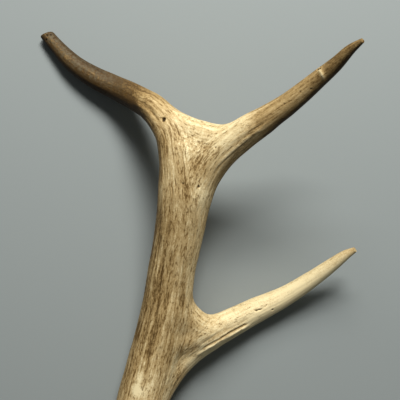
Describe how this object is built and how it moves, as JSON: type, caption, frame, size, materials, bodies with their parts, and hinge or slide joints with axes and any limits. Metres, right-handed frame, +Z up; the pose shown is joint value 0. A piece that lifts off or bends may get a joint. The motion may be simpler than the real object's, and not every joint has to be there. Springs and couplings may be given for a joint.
{
  "type": "deer antler",
  "caption": "Shed deer antler lying on its side: burr at the foot of a curved beam, with a brow tine, a middle tine and a forked crown.",
  "frame": {"origin": "on the surface that the antler lies on, below the middle of its bounding box", "axes": "+Y runs from the burr to the crown, +X towards the middle tine's side, +Z up from the surface"},
  "size_m": [0.2258, 0.4192, 0.1191],
  "materials": {
    "antler_bone": "dry weathered antler bone, cream to brown along the grain, satin on the rubbed tips"
  },
  "bodies": {
    "root": {"burr_base": "antler_bone", "brow_tine": "antler_bone", "lower_beam": "antler_bone", "middle_tine": "antler_bone", "upper_beam": "antler_bone", "rear_crown_tine": "antler_bone", "front_crown_tine": "antler_bone"}
  },
  "joints": []
}
